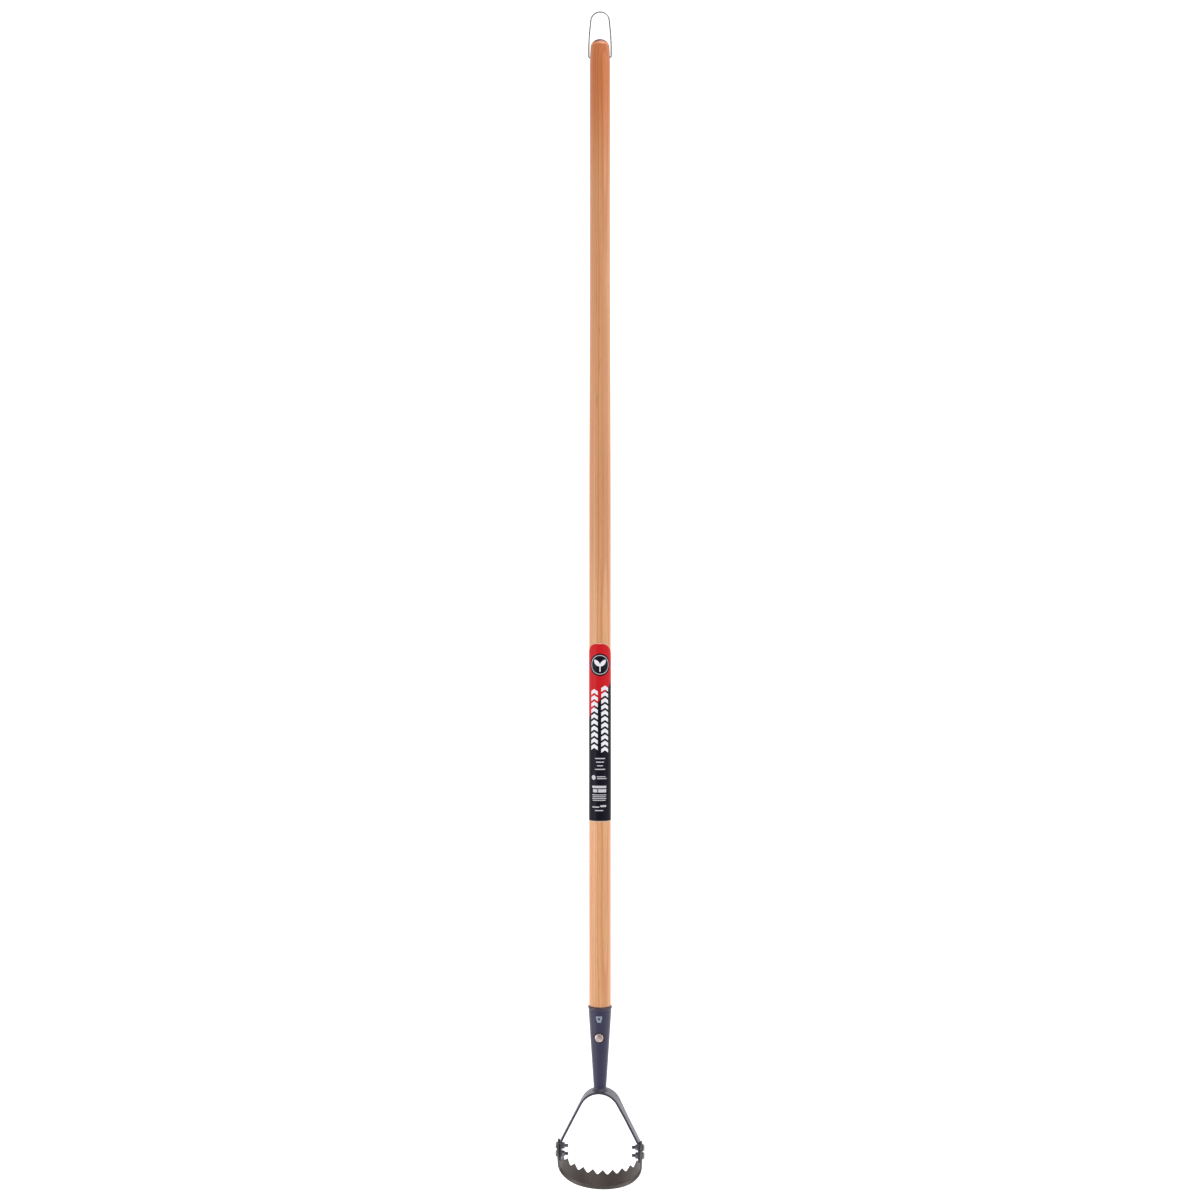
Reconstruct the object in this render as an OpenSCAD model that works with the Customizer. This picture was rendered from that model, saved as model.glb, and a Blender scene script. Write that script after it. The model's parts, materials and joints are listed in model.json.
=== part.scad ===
// Stirrup hoe: a long ash handle, a painted socket and yoke, and a rocking toothed blade.
// Millimetres. +Z runs up the handle, +X to the right, and the front faces -Y.
// The origin is on the handle's axis, under the crown of the wire hanger.

/* [Handle] */
// Height of the handle's domed tip, below the hanger's crown
handle_tip_z = -38.9; // [-60:0.1:-36]
// Full length of the handle, with the part inside the socket
handle_length = 1502; // [1480:1:1512]
// Handle diameter at the dome's foot
handle_top_d = 27.4; // [27:0.1:29]
// Handle diameter where it has filled out again below the dome
handle_grip_d = 29.6; // [29.4:0.1:30]
// Handle diameter at its slimmest, a forearm's length below the top
handle_neck_d = 29.4; // [28:0.1:30]
// Handle diameter over its lower half
handle_low_d = 31.4; // [31:0.1:31.6]
// Height of the dome on the handle's tip
dome_height = 11.6; // [8:0.1:15]

/* [Hanger] */
// Diameter of the hanger's wire
wire_d = 2; // [1.6:0.1:2.2]
// Radius of the hanger's crown, to the middle of the wire
hanger_r = 13.4; // [12.5:0.1:14.5]
// Distance of the hanger's side legs from the axis, next to the handle
hanger_foot_x = 16.3; // [16.2:0.1:18]
// Height of the hanger's pivot
hanger_pivot_z = -65.3; // [-72:0.1:-62]

/* [Label] */
// Height of the label's upper edge
label_top_z = -914; // [-950:1:-900]
// Height of the label's lower edge
label_low_z = -1171; // [-1200:1:-1150]
// Angle that the label wraps round the handle
label_wrap = 198; // [195:1:240]
// Thickness of the label's film
label_t = 0.3; // [0.2:0.05:0.5]

/* [Socket] */
// Height of the middle of the socket's rolled lip
lip_z = -1441; // [-1445:0.5:-1438]
// Outer diameter of the rolled lip
lip_d = 35; // [34.8:0.1:36]
// Socket diameter just below the lip
socket_top_d = 33.6; // [33:0.1:34]
// Socket diameter where it meets the yoke
socket_low_d = 17.6; // [16.5:0.1:19]
// Thickness of the socket's wall
socket_wall = 1.7; // [1.2:0.1:2]
// Height of the rivet through the socket and the handle
rivet_z = -1483; // [-1495:0.5:-1475]

/* [Yoke] */
// Height of the crown's mid-line
crown_z = -1562.5; // [-1564:0.1:-1561]
// Thickness of the yoke's strip
yoke_t = 3; // [2.5:0.1:3.5]
// Width of the strip at the crown
crown_w = 32; // [28:0.5:36]
// Width of the strip at its ends
yoke_end_w = 20; // [18:0.5:22]
// Radius of the crown's arch, to the strip's mid-line
crown_r = 30; // [28:0.5:32]
// Half of the angle that the arch turns through
crown_half_angle = 62.8; // [62:0.1:63]
// Distance of the yoke's ends from the axis, to the strip's mid-line
yoke_end_x = 57; // [56.5:0.1:57.5]

/* [Blade] */
// Height of the two bolts that the blade pivots on
pivot_z = -1655.5; // [-1657:0.5:-1655]
// Distance of the stop bolts above the pivot bolts
stop_rise = 11.7; // [11.2:0.1:11.9]
// Angle of the blade's tilt at rest, back from hanging straight
blade_tilt = 31; // [29:0.5:33]
// Angle that the blade rocks through
blade_swing = 30; // [25:1:30]
// Thickness of the blade's strip
blade_t = 2.5; // [2:0.1:3]
// Depth of the blade's outer face below the pivot
blade_drop = 60.2; // [58:0.1:64]
// Outer radius of the blade's bowed bottom
bow_r = 80; // [75:1:90]
// Outer radius of the blade's corners
corner_r = 50; // [45:1:52]
// Distance from the pivot's line to the blade's plain edge
edge_w = 12.5; // [11:0.1:14]
// Distance from the pivot's line to the roots of the teeth
root_w = 13; // [11:0.1:13.4]
// Height of the teeth
tooth_h = 7.8; // [6:0.1:9]
// Distance from tooth to tooth along the outer face
tooth_pitch = 15.1; // [14.5:0.1:15.4]
// Number of teeth to each side of the middle one
side_teeth = 5; // [3:1:5]

/* [Fasteners] */
// Thread diameter of the bolts
bolt_d = 5; // [4.8:0.1:5]
// Length of the bolts under the head
bolt_length = 16; // [14:1:18]
// Diameter of the bolt heads
head_d = 9.5; // [9:0.1:10]
// Height of the bolt heads
head_h = 2.5; // [2.4:0.1:3]
// Diameter of the washers
washer_d = 10; // [9:0.1:10.4]
// Thickness of the washers
washer_t = 0.7; // [0.6:0.1:1]
// Outer diameter of the spacer bushes
bush_d = 7; // [6.6:0.1:7.2]
// Width of the nuts across their flats
nut_af = 8; // [7.8:0.1:8.2]
// Height of the nuts
nut_h = 4.2; // [3.6:0.1:4.6]
// Gap on each side of the blade's tab
tab_gap = 0.25; // [0.2:0.05:0.4]

/* [Hidden] */
$fn = 96;

// Small steps that keep cuts clean and parts apart
past = 1;
hair = 0.02;

// Handle: heights of the places where its taper changes
dome_foot_z = handle_tip_z - dome_height;
grip_z = -78;
neck_z = -360;
swell_z = -600;
swell_share = 0.7;
low_z = -760;
handle_end_z = handle_tip_z - handle_length;
dome_steps = 12;

// Hanger: the leg leans out from the crown to its foot beside the handle, in two runs
wire_r = wire_d / 2;
crown_centre_z = wire_r - hanger_r;
leg_mid_x = 15.3;
leg_mid_z = -30;
foot_top_z = -48;
wire_hole_r = wire_r + 0.08;
wire_end_x = 8;
joint_swell = 0.05;

// Label: corners as rolled on the handle
label_top_corner = 27;
label_low_corner = 6;
label_r = handle_low_d / 2 + label_t;
label_half = label_r * label_wrap / 2 * PI / 180;
label_steps = 10;

// Socket: a straight cone outside and inside, with a flared mouth under the lip
socket_top_z = lip_z;
socket_low_z = crown_z;
lip_r = 2.6;
mouth_z = lip_z + lip_r / 2;
shoulder_z = lip_z - 4;
fit_gap = 0.1;
rivet_shank_r = 3;
rivet_head_r = 6;
rivet_dome_h = 1.6;
rivet_rim_h = 0.5;
rivet_seat = 1.4;

// Yoke: straight legs run from the arch to the bends above the vertical ends
arch_z = crown_z - crown_r;
arch_outer_r = crown_r + yoke_t / 2;
leg_slope = 90 - crown_half_angle;
leg_top = [crown_r * sin(crown_half_angle), arch_z + crown_r * cos(crown_half_angle)];
bend_r = 3;
flare_z = crown_z - 7.5;
bend_x = yoke_end_x - bend_r;
leg_low_x = bend_x + bend_r * cos(leg_slope);
leg_length = (leg_low_x - leg_top[0]) / sin(leg_slope);
bend_z = leg_top[1] - leg_length * cos(leg_slope) - bend_r * sin(leg_slope);
waist_z = -1606;
waist_w = 22;
flank_steps = 8;
crown_steps = 16;
bend_steps = 6;
end_steps = 10;

// Weld: how far its toe reaches down the crown and up the socket
weld_leg = 4.2;
weld_height = 5;
weld_lap = 1;
weld_knee = [0.55, 0.35];
weld_root = 0.85;

// Bolts: what is stacked outwards from the nut
yoke_inner_x = yoke_end_x - yoke_t / 2;
yoke_outer_x = yoke_end_x + yoke_t / 2;
tab_inner_x = yoke_outer_x + tab_gap;
tab_outer_x = tab_inner_x + blade_t;
washer_x = tab_outer_x + tab_gap;
head_x = washer_x + washer_t;
stop_z = pivot_z + stop_rise;
bolt_r = bolt_d / 2;
bolt_hole_r = bolt_r + 0.1;
running_gap = 0.06;
stop_gap = 0.2;
slot_margin = 0.4;
thread_gap = 0.02;
chamfer = 0.6;
head_steps = [[1, 0.45], [0.9, 0.8], [0.65, 1]];
recess_w = 1.2;
recess_depth = 1.3;

// Blade: the bow and the corner arcs meet where their tangents agree
bow_half_angle = asin((tab_outer_x - corner_r) / (bow_r - corner_r));
bow_z = bow_r - blade_drop;
corner_x = tab_outer_x - corner_r;
corner_z = bow_z - (bow_r - corner_r) * cos(bow_half_angle);
bow_length = bow_r * bow_half_angle * PI / 180;
tip_w = root_w + tooth_h;
tooth_reach = (side_teeth + 0.5) * tooth_pitch;
tab_low_w = -10.5;
tab_high_w = 13.5;
tab_top = 20;
tab_corner_r = 7;
gullet_w = 2;
last_root_angle = (tooth_reach - bow_length) / corner_r * 180 / PI + bow_half_angle;
last_root_z = corner_z - corner_r * cos(last_root_angle);
bow_steps = 10;
corner_steps = 18;

function mix(a, b, t) = a + (b - a) * t;
function smooth(t) = t * t * (3 - 2 * t);
function socket_r(z) =
    mix(socket_top_d, socket_low_d, (socket_top_z - z) / (socket_top_z - socket_low_z)) / 2;
function bore_r(z) = socket_r(z) - socket_wall;

// Points on an arc in the XZ plane, and a half outline turned over to the left side
function arc(c, r, a0, a1, steps) =
    [for (i = [0 : steps]) c + r * [cos(mix(a0, a1, i / steps)), sin(mix(a0, a1, i / steps))]];
function flipped(p) = [for (i = [len(p) - 1 : -1 : 1]) [-p[i][0], p[i][1]]];
function reversed(p) = [for (i = [len(p) - 1 : -1 : 0]) p[i]];

// A strip bent in the XZ plane, from y0 to y1, given the right halves of its two faces
module bent_strip(outer, inner, y0, y1) {
    translate([0, y1, 0]) rotate([90, 0, 0]) linear_extrude(height = y1 - y0)
        polygon(concat(flipped(outer), outer, reversed(concat(flipped(inner), inner))));
}

// A cylinder along X, from x0 to x1
module rod_x(r, x0, x1) {
    translate([x0, 0, 0]) rotate([0, 90, 0]) cylinder(r = r, h = x1 - x0);
}

// A cylinder along Y, centred on the axis
module rod_y(r, half) {
    rotate([90, 0, 0]) cylinder(r = r, h = 2 * half, center = true);
}

// Children at the height z, on the right side, or turned round to the left
module at_side(side, z) {
    translate([0, 0, z]) rotate([0, 0, side == "left" ? 180 : 0]) children();
}

// Handle --------------------------------------------------------------------------------

module handle_body() {
    dome = [for (i = [0 : dome_steps - 1])
        let (a = 90 * i / dome_steps)
        [handle_top_d / 2 * sin(a), dome_foot_z + dome_height * cos(a)]];
    sides = [
        [handle_top_d / 2, dome_foot_z],
        [handle_grip_d / 2, grip_z],
        [handle_neck_d / 2, neck_z],
        [mix(handle_neck_d, handle_low_d, swell_share) / 2, swell_z],
        [handle_low_d / 2, low_z],
        [handle_low_d / 2, mouth_z],
        [bore_r(shoulder_z) - fit_gap, shoulder_z],
        [bore_r(handle_end_z) - fit_gap, handle_end_z]
    ];
    rotate_extrude() polygon(concat(dome, sides, [[0, handle_end_z]]));
}

module handle() {
    color([0.83, 0.62, 0.44]) difference() {
        handle_body();
        for (side = ["left", "right"]) {
            at_side(side, hanger_pivot_z) rod_x(wire_hole_r, wire_end_x - past, handle_top_d);
        }
        translate([0, 0, rivet_z]) rod_y(rivet_shank_r + fit_gap, handle_low_d);
    }
}

// Hanger --------------------------------------------------------------------------------

// A straight piece of wire between two points in the XZ plane
module wire_run(p, q) {
    run = q - p;
    translate([p[0], 0, p[1]]) rotate([0, atan2(run[0], run[1]), 0]) cylinder(r = wire_r, h = norm(run));
}

// The rounded corner where two pieces of wire meet
module wire_joint(p) {
    translate([p[0], 0, p[1]]) sphere(r = wire_r + joint_swell);
}

module hanger_side() {
    path = [
        [hanger_r, crown_centre_z],
        [leg_mid_x, leg_mid_z],
        [hanger_foot_x, foot_top_z],
        [hanger_foot_x, hanger_pivot_z],
        [wire_end_x, hanger_pivot_z]
    ];
    for (i = [1 : len(path) - 1]) {
        wire_joint(path[i - 1]);
        wire_run(path[i - 1], path[i]);
    }
}

module hanger() {
    color([0.62, 0.62, 0.64]) union() {
        translate([0, 0, crown_centre_z]) rotate([90, 0, 0])
            rotate_extrude(angle = 180) translate([hanger_r, 0]) circle(r = wire_r);
        hanger_side();
        mirror([1, 0, 0]) hanger_side();
    }
}

// Label ---------------------------------------------------------------------------------

// One corner of the label seen from the side, rolled round the handle: [y, drop] points
function rolled_corner(r) = [for (i = [0 : label_steps])
    let (
        a = 90 * i / label_steps,
        arc = label_half - r + r * sin(a)
    )
    [-label_r * cos(arc / label_r * 180 / PI), r - r * cos(a)]];

module label_side_outline() {
    top = [for (p = rolled_corner(label_top_corner)) [p[0], label_top_z - p[1]]];
    low = rolled_corner(label_low_corner);
    bottom = [for (i = [label_steps : -1 : 0]) [low[i][0], label_low_z + low[i][1]]];
    front = -label_r - past;
    polygon(concat([[front, label_top_z]], top, bottom, [[front, label_low_z]]));
}

module label() {
    color([0.75, 0.15, 0.17]) intersection() {
        difference() {
            translate([0, 0, label_low_z]) cylinder(r = label_r, h = label_top_z - label_low_z);
            translate([0, 0, label_low_z - past])
                cylinder(d = handle_low_d, h = label_top_z - label_low_z + 2 * past);
        }
        rotate([90, 0, 90]) linear_extrude(height = 3 * label_r, center = true) label_side_outline();
    }
}

// Socket, rivet and weld ----------------------------------------------------------------

module socket_cone() {
    translate([0, 0, socket_low_z])
        cylinder(r1 = socket_r(socket_low_z), r2 = socket_r(socket_top_z), h = socket_top_z - socket_low_z);
}

module crown_drum(r) {
    translate([0, 0, arch_z]) rod_y(r, crown_w);
}

module rivet_bore(gap) {
    translate([0, 0, rivet_z]) rod_y(rivet_shank_r + gap, lip_d);
}

module socket_bore() {
    mouth_r = handle_low_d / 2 + fit_gap;
    rotate_extrude() polygon([
        [0, socket_low_z - past],
        [bore_r(socket_low_z - past), socket_low_z - past],
        [bore_r(shoulder_z), shoulder_z],
        [mouth_r, mouth_z],
        [mouth_r, lip_z + 2 * lip_r],
        [0, lip_z + 2 * lip_r]
    ]);
}

module socket() {
    color([0.2, 0.2, 0.34]) difference() {
        union() {
            socket_cone();
            translate([0, 0, lip_z]) rotate_extrude() translate([lip_d / 2 - lip_r, 0]) circle(r = lip_r);
        }
        socket_bore();
        crown_drum(arch_outer_r);
        rivet_bore(hair);
    }
}

// One rivet head: a low dome on a short rim, with its seat shaped to the cone
module rivet_head() {
    seat_y = socket_r(rivet_z);
    dome_r = (rivet_head_r * rivet_head_r + rivet_dome_h * rivet_dome_h) / (2 * rivet_dome_h);
    translate([0, -seat_y + rivet_seat, rivet_z]) rotate([90, 0, 0]) {
        cylinder(r = rivet_head_r, h = rivet_seat + rivet_rim_h);
        translate([0, 0, rivet_seat + rivet_rim_h]) intersection() {
            translate([0, 0, rivet_dome_h - dome_r]) sphere(r = dome_r);
            cylinder(r = rivet_head_r, h = rivet_dome_h);
        }
    }
}

module socket_rivet() {
    color([0.66, 0.55, 0.5]) union() {
        difference() {
            union() {
                rivet_head();
                mirror([0, 1, 0]) rivet_head();
            }
            translate([0, 0, hair]) socket_cone();
        }
        translate([0, 0, rivet_z]) rod_y(rivet_shank_r, socket_r(rivet_z) - rivet_rim_h + past);
    }
}

module weld_bead() {
    foot_r = socket_low_d / 2;
    seat_z = crown_z + yoke_t / 2;
    toe_z = arch_z + sqrt(pow(arch_outer_r, 2) - pow(foot_r + weld_leg, 2));
    color([0.19, 0.19, 0.32]) difference() {
        rotate_extrude() polygon([
            [foot_r - weld_root, seat_z + weld_height],
            [foot_r + weld_lap, seat_z + weld_height],
            [foot_r + weld_leg * weld_knee[0], seat_z + weld_height * weld_knee[1]],
            [foot_r + weld_leg, seat_z - weld_lap / 2],
            [foot_r + weld_leg, toe_z],
            [foot_r - weld_root, toe_z]
        ]);
        socket_cone();
        crown_drum(arch_outer_r);
    }
}

// Yoke ----------------------------------------------------------------------------------

// Right half of one face of the strip, at a distance from its mid-line
function yoke_face(e) = concat(
    arc([0, arch_z], crown_r + e, 90, leg_slope, crown_steps),
    arc([bend_x, bend_z], bend_r + e, leg_slope, 0, bend_steps),
    [[yoke_end_x + e, pivot_z - yoke_end_w]]
);

// The strip seen from the side: wide at the crown, slim in the legs, round at the ends
module yoke_side_outline() {
    flare = [for (i = [flank_steps : -1 : 0])
        let (t = i / flank_steps)
        [mix(crown_w, waist_w, smooth(t)) / 2, mix(flare_z, waist_z, t)]];
    front = concat(
        arc([0, pivot_z], yoke_end_w / 2, -90, 0, end_steps),
        flare,
        [[crown_w / 2, crown_z + yoke_t]]
    );
    polygon(concat(front, flipped(front)));
}

module yoke() {
    color([0.24, 0.23, 0.33]) difference() {
        intersection() {
            bent_strip(yoke_face(yoke_t / 2), yoke_face(-yoke_t / 2), -crown_w, crown_w);
            rotate([90, 0, 90]) linear_extrude(height = 4 * yoke_end_x, center = true) yoke_side_outline();
        }
        for (side = ["left", "right"], z = [pivot_z, stop_z]) {
            at_side(side, z) rod_x(bolt_hole_r, yoke_inner_x - past, yoke_outer_x + past);
        }
    }
}

// Blade ---------------------------------------------------------------------------------

// Children in the blade's own frame: +Y towards the teeth, +Z up the tabs, origin on the pivot
module in_blade_frame() {
    translate([0, 0, pivot_z]) rotate([blade_tilt, 0, 0]) children();
}

// Right half of one face of the strip, at a distance from its outer face
function blade_face(e) = concat(
    arc([0, bow_z], bow_r + e, -90, bow_half_angle - 90, bow_steps),
    arc([corner_x, corner_z], corner_r + e, bow_half_angle - 90, 0, corner_steps),
    [[tab_outer_x + e, tab_top + past]]
);

// What is left of the strip, seen from the side, before the teeth are cut
module blade_side_outline() {
    polygon([
        [-edge_w - past, -blade_drop - past],
        [tip_w + past, -blade_drop - past],
        [tip_w + past, last_root_z],
        [root_w, last_root_z],
        [tab_high_w, corner_z],
        [tab_high_w, tab_top - tab_corner_r],
        [tab_low_w, tab_top - tab_corner_r],
        [tab_low_w, corner_z],
        [-edge_w - past, last_root_z]
    ]);
    translate([tab_low_w + tab_corner_r, 0])
        square([tab_high_w - tab_low_w - 2 * tab_corner_r, tab_top]);
    for (y = [tab_low_w + tab_corner_r, tab_high_w - tab_corner_r]) {
        translate([y, tab_top - tab_corner_r]) circle(r = tab_corner_r);
    }
}

// Children at an arc length from the bow's middle, with +Z pointing inwards from the outer face
module at_arc(s) {
    over = abs(s) - bow_length;
    mirror([s < 0 ? 1 : 0, 0, 0]) {
        if (over <= 0) {
            translate([0, 0, bow_z]) rotate([0, -abs(s) / bow_r * 180 / PI, 0])
                translate([0, 0, -bow_r]) children();
        } else {
            translate([corner_x, 0, corner_z])
                rotate([0, -bow_half_angle - over / corner_r * 180 / PI, 0])
                    translate([0, 0, -corner_r]) children();
        }
    }
}

// The gap between two teeth
module gullet() {
    half = tooth_pitch / 2;
    flat = gullet_w / 2;
    translate([0, 0, -past]) linear_extrude(height = blade_t + 3 * past) polygon([
        [-flat, root_w],
        [flat, root_w],
        [half, tip_w],
        [half, tip_w + past],
        [-half, tip_w + past],
        [-half, tip_w]
    ]);
}

// The slot round the stop bush: an arc about the pivot with round ends
module stop_slot() {
    slot_r = bush_d / 2 + stop_gap;
    first = blade_tilt - blade_swing - slot_margin;
    last = blade_tilt + slot_margin;
    for (a = [first, last]) {
        rotate([-a, 0, 0]) translate([0, 0, stop_rise])
            rod_x(slot_r, tab_inner_x - past, tab_outer_x + past);
    }
    rotate([-last, 0, 0]) rotate([0, 90, 0]) rotate([0, 0, 180])
        translate([0, 0, tab_inner_x - past]) rotate_extrude(angle = last - first)
            translate([stop_rise - slot_r, 0]) square([2 * slot_r, blade_t + 2 * past]);
}

module tab_holes() {
    rod_x(bush_d / 2 + running_gap, tab_inner_x - past, tab_outer_x + past);
    stop_slot();
}

module blade() {
    color([0.3, 0.26, 0.25]) in_blade_frame() difference() {
        intersection() {
            bent_strip(blade_face(0), blade_face(-blade_t), -edge_w, tip_w);
            rotate([90, 0, 90]) linear_extrude(height = 4 * tab_outer_x, center = true) blade_side_outline();
        }
        for (i = [-side_teeth - 1 : side_teeth]) {
            at_arc((i + 0.5) * tooth_pitch) gullet();
        }
        tab_holes();
        mirror([1, 0, 0]) tab_holes();
    }
}

// Fasteners -----------------------------------------------------------------------------

// A pan-head bolt along X, its head outside and its tip towards the middle
module bolt() {
    tip_x = head_x - bolt_length;
    color([0.45, 0.45, 0.47]) difference() {
        rotate([0, 90, 0]) rotate_extrude() polygon([
            [0, tip_x],
            [bolt_r - chamfer, tip_x],
            [bolt_r, tip_x + chamfer],
            [bolt_r, head_x],
            [head_d / 2, head_x],
            for (s = head_steps) [head_d / 2 * s[0], head_x + head_h * s[1]],
            [0, head_x + head_h]
        ]);
        for (turn = [0, 90]) {
            rotate([turn, 0, 0]) translate([head_x + head_h - recess_depth, -head_d / 4, -recess_w / 2])
                cube([recess_depth + past, head_d / 2, recess_w]);
        }
    }
}

module ring(r, hole_r, x0, x1) {
    difference() {
        rod_x(r, x0, x1);
        rod_x(hole_r, x0 - past, x1 + past);
    }
}

module bush() {
    color([0.55, 0.55, 0.56]) ring(bush_d / 2, bolt_r + thread_gap, yoke_outer_x, washer_x);
}

module washer() {
    color([0.6, 0.6, 0.61]) ring(washer_d / 2, bolt_hole_r, washer_x, head_x);
}

// A hex nut against the yoke's inner face
module nut() {
    color([0.42, 0.42, 0.44]) difference() {
        intersection() {
            translate([yoke_inner_x - nut_h, 0, 0]) rotate([0, 90, 0])
                cylinder(d = nut_af / cos(30), h = nut_h, $fn = 6);
            translate([yoke_inner_x - nut_h, 0, 0]) rotate([0, 90, 0])
                cylinder(r1 = nut_af / 2, r2 = nut_af / 2 + 2 * nut_h, h = nut_h);
        }
        rod_x(bolt_r + thread_gap, yoke_inner_x - nut_h - past, yoke_inner_x + past);
    }
}

handle();
hanger();
label();
socket();
socket_rivet();
weld_bead();
yoke();
blade();
at_side("left", pivot_z) bolt();  // pivot_bolt_left
at_side("right", pivot_z) bolt();  // pivot_bolt_right
at_side("left", stop_z) bolt();  // stop_bolt_left
at_side("right", stop_z) bolt();  // stop_bolt_right
at_side("left", pivot_z) bush();  // pivot_bush_left
at_side("right", pivot_z) bush();  // pivot_bush_right
at_side("left", stop_z) bush();  // stop_bush_left
at_side("right", stop_z) bush();  // stop_bush_right
at_side("left", pivot_z) washer();  // pivot_washer_left
at_side("right", pivot_z) washer();  // pivot_washer_right
at_side("left", stop_z) washer();  // stop_washer_left
at_side("right", stop_z) washer();  // stop_washer_right
at_side("left", pivot_z) nut();  // pivot_nut_left
at_side("right", pivot_z) nut();  // pivot_nut_right
at_side("left", stop_z) nut();  // stop_nut_left
at_side("right", stop_z) nut();  // stop_nut_right
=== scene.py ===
"""The stirrup hoe's looks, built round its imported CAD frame. Metres, +Z up the handle, front to -Y."""
import json
from math import acos, asin, atan2, ceil, cos, pi, radians, sin, sqrt

import bmesh
import bpy
from mathutils import Matrix, Vector


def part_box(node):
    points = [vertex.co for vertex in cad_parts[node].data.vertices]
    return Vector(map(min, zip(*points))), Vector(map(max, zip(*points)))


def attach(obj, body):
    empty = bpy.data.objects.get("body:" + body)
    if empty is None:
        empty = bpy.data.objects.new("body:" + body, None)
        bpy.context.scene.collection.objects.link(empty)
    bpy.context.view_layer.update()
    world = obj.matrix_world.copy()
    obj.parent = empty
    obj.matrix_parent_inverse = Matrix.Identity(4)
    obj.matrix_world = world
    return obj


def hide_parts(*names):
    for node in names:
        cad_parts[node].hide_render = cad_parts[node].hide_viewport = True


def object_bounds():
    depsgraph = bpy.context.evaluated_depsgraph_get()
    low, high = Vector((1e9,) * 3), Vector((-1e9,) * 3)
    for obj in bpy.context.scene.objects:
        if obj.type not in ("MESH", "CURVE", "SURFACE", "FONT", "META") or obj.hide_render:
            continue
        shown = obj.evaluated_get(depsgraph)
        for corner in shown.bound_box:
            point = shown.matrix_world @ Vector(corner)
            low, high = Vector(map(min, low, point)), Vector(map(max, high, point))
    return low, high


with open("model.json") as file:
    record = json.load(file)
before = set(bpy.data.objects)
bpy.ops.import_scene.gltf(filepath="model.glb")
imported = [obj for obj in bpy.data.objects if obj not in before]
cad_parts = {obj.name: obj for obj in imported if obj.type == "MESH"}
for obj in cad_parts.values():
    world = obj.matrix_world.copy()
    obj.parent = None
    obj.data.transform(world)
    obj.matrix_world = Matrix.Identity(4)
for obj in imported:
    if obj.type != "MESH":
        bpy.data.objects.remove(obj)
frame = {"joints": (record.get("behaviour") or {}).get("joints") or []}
cad_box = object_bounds()

MM = 0.001
ROOT, BLADE, HANGER = "handle_assembly", "stirrup_blade", "wire_hanger"
JOINTS = {j["name"]: j for j in frame["joints"]}
PIVOT = Vector(JOINTS["blade_swing"]["pos_m"])
HANGER_PIVOT = Vector(JOINTS["hanger_swing"]["pos_m"])
YOKE_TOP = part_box("yoke")[1].z
# The yoke's strip: thickness, radii of its crown and bends, and half the angle of its crown
YOKE_T = 3 * MM
YOKE_R = 30 * MM
YOKE_BEND_R = 3 * MM
CROWN_HALF = radians(62.8)
CROWN_OUTER_R = YOKE_R + YOKE_T / 2


# Mesh helpers --------

def link(thing):
    """Puts a new object in the scene."""
    bpy.context.scene.collection.objects.link(thing)
    return thing


def new_object(name, mesh, body, slot, material, *nodes):
    """A finished piece: linked, riding on its body, and standing for its CAD nodes."""
    piece = link(bpy.data.objects.new(name, mesh))
    mesh.materials.clear()
    mesh.materials.append(material)
    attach(piece, body)
    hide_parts(*nodes)
    return piece


def mesh_from(name, bm, smooth_angle=35):
    """The mesh of a bmesh, with outward faces, smooth where faces meet at less than the angle."""
    bmesh.ops.recalc_face_normals(bm, faces=bm.faces)
    if bm.calc_volume(signed=True) < 0:
        bmesh.ops.reverse_faces(bm, faces=bm.faces)
    for face in bm.faces:
        face.smooth = True
    limit = radians(smooth_angle)
    for edge in bm.edges:
        edge.smooth = edge.is_manifold and edge.calc_face_angle(0) < limit
    mesh = bpy.data.meshes.new(name)
    bm.to_mesh(mesh)
    bm.free()
    return mesh


def grid(bm, rows, close_rows=False, close_columns=True):
    """Quads between rows of points. Rows of one point make a fan."""
    made = [[bm.verts.new(p) for p in row] for row in rows]
    above = made[1:] + made[:1] if close_rows else made[1:]
    for low, high in zip(made, above):
        n = max(len(low), len(high))
        for i in range(n if close_columns else n - 1):
            j = (i + 1) % n
            corners = [low[i % len(low)], low[j % len(low)], high[j % len(high)], high[i % len(high)]]
            face = list(dict.fromkeys(corners))
            if len(face) > 2:
                bm.faces.new(face)


def turned(profile, steps, radius=None):
    """Rows of a turned solid about Z from (radius, height) pairs. radius(r, h, a) may reshape it."""
    rows = []
    for r, h in profile:
        if r == 0:
            rows.append([Vector((0, 0, h))])
            continue
        row = []
        for i in range(steps):
            a = 2 * pi * i / steps
            q = radius(r, h, a) if radius else r
            row.append(Vector((q * cos(a), q * sin(a), h)))
        rows.append(row)
    return rows


def turned_mesh(name, profile, steps=64, place=Matrix.Identity(4), radius=None, ring=False, angle=35):
    bm = bmesh.new()
    grid(bm, turned(profile, steps, radius), close_rows=ring)
    bm.transform(place)
    return mesh_from(name, bm, angle)


def smooth(t):
    """Eases from 0 to 1 as t goes from 0 to 1, and holds both ends."""
    t = min(1.0, max(0.0, t))
    return t * t * (3 - 2 * t)


def quarter_turn(steps):
    """Angles from 0 to a right angle."""
    return [pi / 2 * i / steps for i in range(steps + 1)]


def corner(p, q, r, cut, steps):
    """Points on a curve that rounds the corner at q, starting and ending at cut from it."""
    a, b = q + (p - q).normalized() * cut, q + (r - q).normalized() * cut
    times = [i / steps for i in range(steps + 1)]
    return [a * (1 - t) ** 2 + q * 2 * t * (1 - t) + b * t * t for t in times]


def rounded(points, radius, steps=4):
    """An open outline of (a, b) points with each inner corner rounded by an arc-like curve."""
    out = [points[0]]
    for p, q, r in zip(points, points[1:], points[2:]):
        p, q, r = Vector(p), Vector(q), Vector(r)
        cut = min(radius, (p - q).length / 2.01, (r - q).length / 2.01)
        out += [tuple(point) for point in corner(p, q, r, cut, steps)]
    return out + [points[-1]]


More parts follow.
